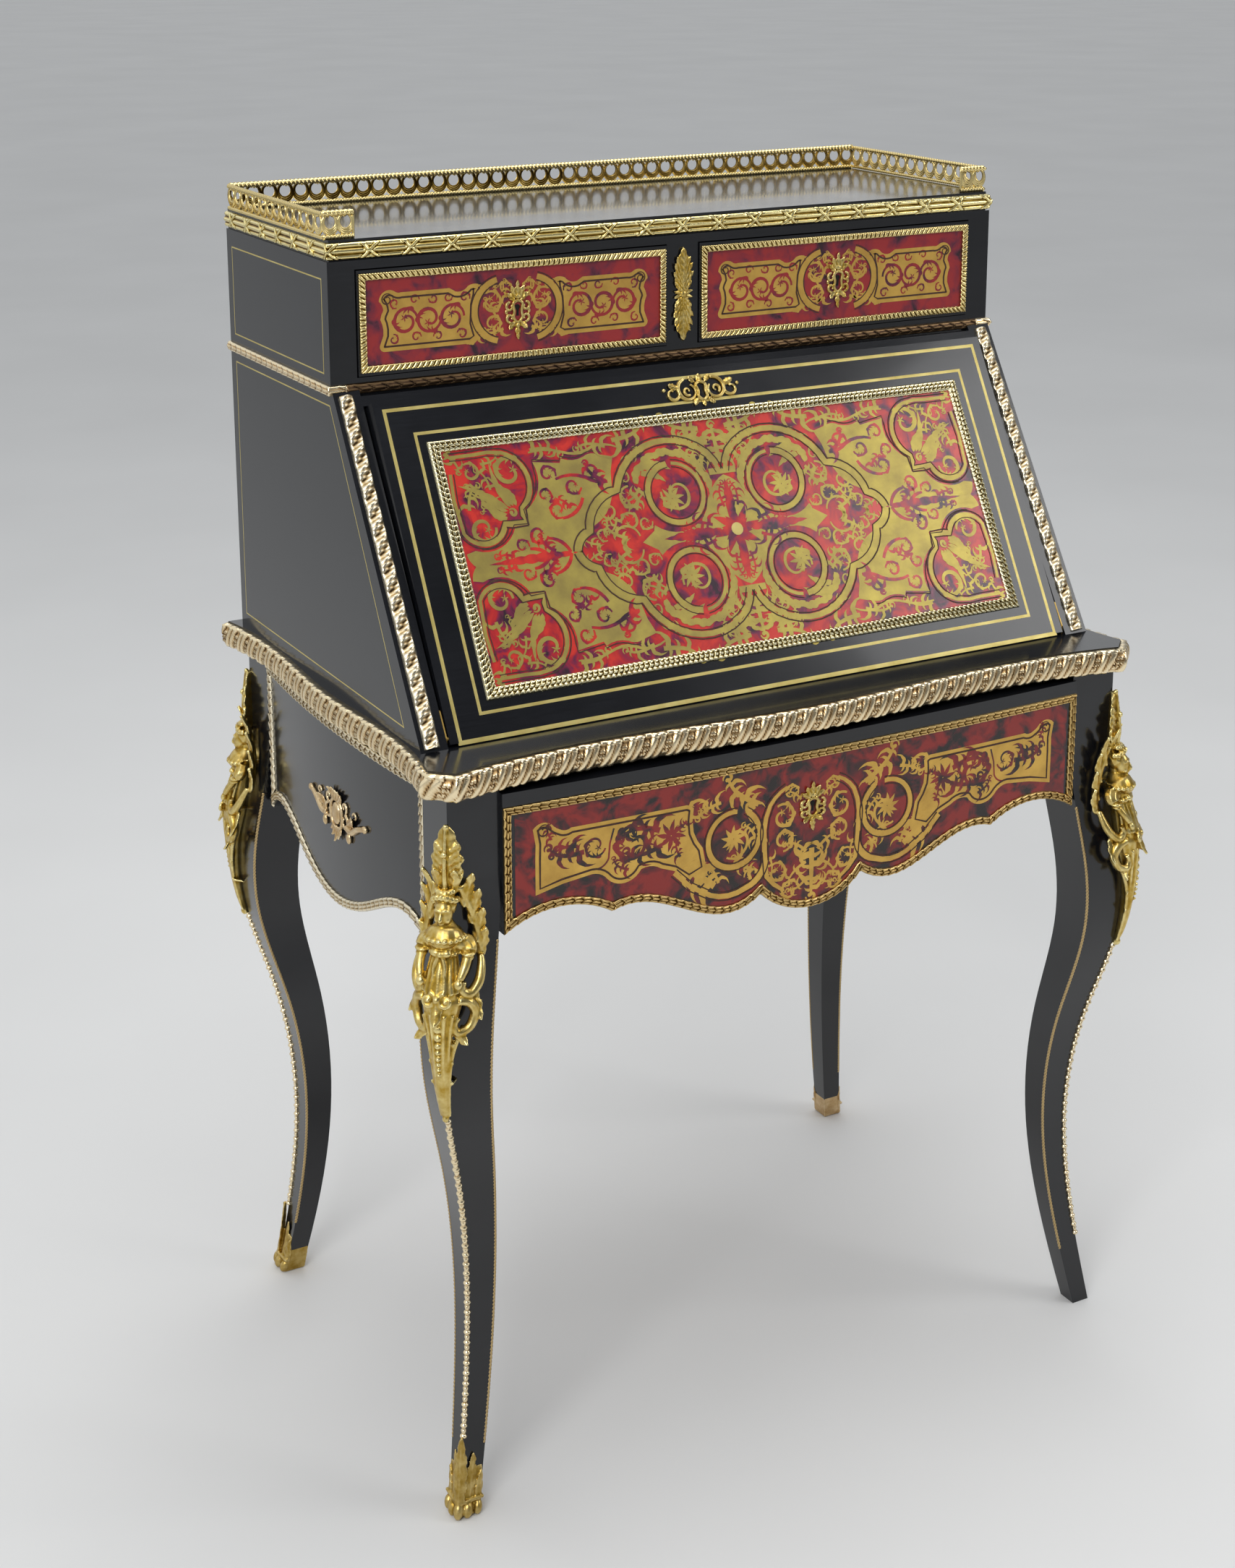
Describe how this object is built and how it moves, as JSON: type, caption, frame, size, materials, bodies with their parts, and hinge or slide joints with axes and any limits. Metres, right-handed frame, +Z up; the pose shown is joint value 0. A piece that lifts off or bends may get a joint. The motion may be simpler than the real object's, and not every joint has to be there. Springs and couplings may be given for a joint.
{
  "type": "slant-front writing desk",
  "caption": "Lady's slant-front writing desk with inlaid fall front, upper drawers, a frieze drawer, pierced gallery and cabriole legs with figure mounts.",
  "frame": {"origin": "on the floor, midway between the four legs", "axes": "+Z up, +X to the right of someone facing the desk's front, the front faces -Y"},
  "size_m": [0.7598, 0.5224, 1.1246],
  "materials": {
    "boulle_marquetry": "red tortoiseshell inlaid with engraved brass, polished",
    "brass": "worn brass, satin",
    "ebonised_wood": "french polish, near-mirror gloss",
    "gilt_bronze": "aged mercury gilding, satin with dark recesses",
    "inner_wood": "polished rosewood, satin",
    "leather": "tooled desk leather, satin"
  },
  "bodies": {
    "desk": {"back_apron": "ebonised_wood", "case_back": "ebonised_wood", "case_side_left": "ebonised_wood", "case_side_right": "ebonised_wood", "drawer_partition": "ebonised_wood", "drawer_shelf": "ebonised_wood", "fall_pivot_left": "brass", "fall_pivot_right": "brass", "fall_rail": "ebonised_wood", "fitting_shelf": "inner_wood", "frieze_runner_left": "inner_wood", "frieze_runner_right": "inner_wood", "gallery": "gilt_bronze", "leg_back_left": "ebonised_wood", "leg_back_right": "ebonised_wood", "leg_front_left": "ebonised_wood", "leg_front_right": "ebonised_wood", "leg_mount_back_left": "gilt_bronze", "leg_mount_back_right": "gilt_bronze", "leg_mount_front_left": "gilt_bronze", "leg_mount_front_right": "gilt_bronze", "partition_mount": "gilt_bronze", "pigeonhole_divider_1": "inner_wood", "pigeonhole_divider_2": "inner_wood", "pigeonhole_divider_3": "inner_wood", "sabot_back_left": "gilt_bronze", "sabot_back_right": "gilt_bronze", "sabot_front_left": "gilt_bronze", "side_apron_left": "ebonised_wood", "side_apron_right": "ebonised_wood", "side_mount_left": "gilt_bronze", "side_mount_right": "gilt_bronze", "slab": "ebonised_wood", "slab_moulding": "gilt_bronze", "slant_moulding_left": "gilt_bronze", "slant_moulding_right": "gilt_bronze", "small_drawer_partition": "inner_wood", "top_board": "ebonised_wood", "top_moulding": "gilt_bronze", "upper_rail": "ebonised_wood", "waist_moulding": "gilt_bronze"},
    "fall": {"fall_board": "ebonised_wood", "fall_escutcheon": "gilt_bronze", "fall_frame": "gilt_bronze", "fall_leather": "leather", "fall_lock": "brass"},
    "upper_drawer_left": {"upper_drawer_box_left": "inner_wood", "upper_drawer_escutcheon_left": "gilt_bronze", "upper_drawer_frame_left": "gilt_bronze", "upper_drawer_front_left": "boulle_marquetry"},
    "upper_drawer_right": {"upper_drawer_box_right": "inner_wood", "upper_drawer_escutcheon_right": "gilt_bronze", "upper_drawer_frame_right": "gilt_bronze", "upper_drawer_front_right": "boulle_marquetry"},
    "frieze_drawer": {"frieze_box": "inner_wood", "frieze_escutcheon": "gilt_bronze", "frieze_frame": "gilt_bronze", "frieze_front": "boulle_marquetry"},
    "small_drawer_left": {"small_drawer_left": "inner_wood"},
    "small_drawer_right": {"small_drawer_right": "inner_wood"}
  },
  "joints": [
    {"name": "fall_hinge", "type": "hinge", "parent": "desk", "child": "fall", "pos_m": [0, -0.17851, 0.7026], "axis": [1, 0, 0], "range_deg": [-2.4, 119]},
    {"name": "upper_drawer_left_slide", "type": "slide", "parent": "desk", "child": "upper_drawer_left", "axis": [0, -1, 0], "range_m": [0, 0.17]},
    {"name": "upper_drawer_right_slide", "type": "slide", "parent": "desk", "child": "upper_drawer_right", "axis": [0, -1, 0], "range_m": [0, 0.17]},
    {"name": "frieze_drawer_slide", "type": "slide", "parent": "desk", "child": "frieze_drawer", "axis": [0, -1, 0], "range_m": [0, 0.26]},
    {"name": "small_drawer_left_slide", "type": "slide", "parent": "desk", "child": "small_drawer_left", "axis": [0, -1, 0], "range_m": [0, 0.1]},
    {"name": "small_drawer_right_slide", "type": "slide", "parent": "desk", "child": "small_drawer_right", "axis": [0, -1, 0], "range_m": [0, 0.1]}
  ]
}
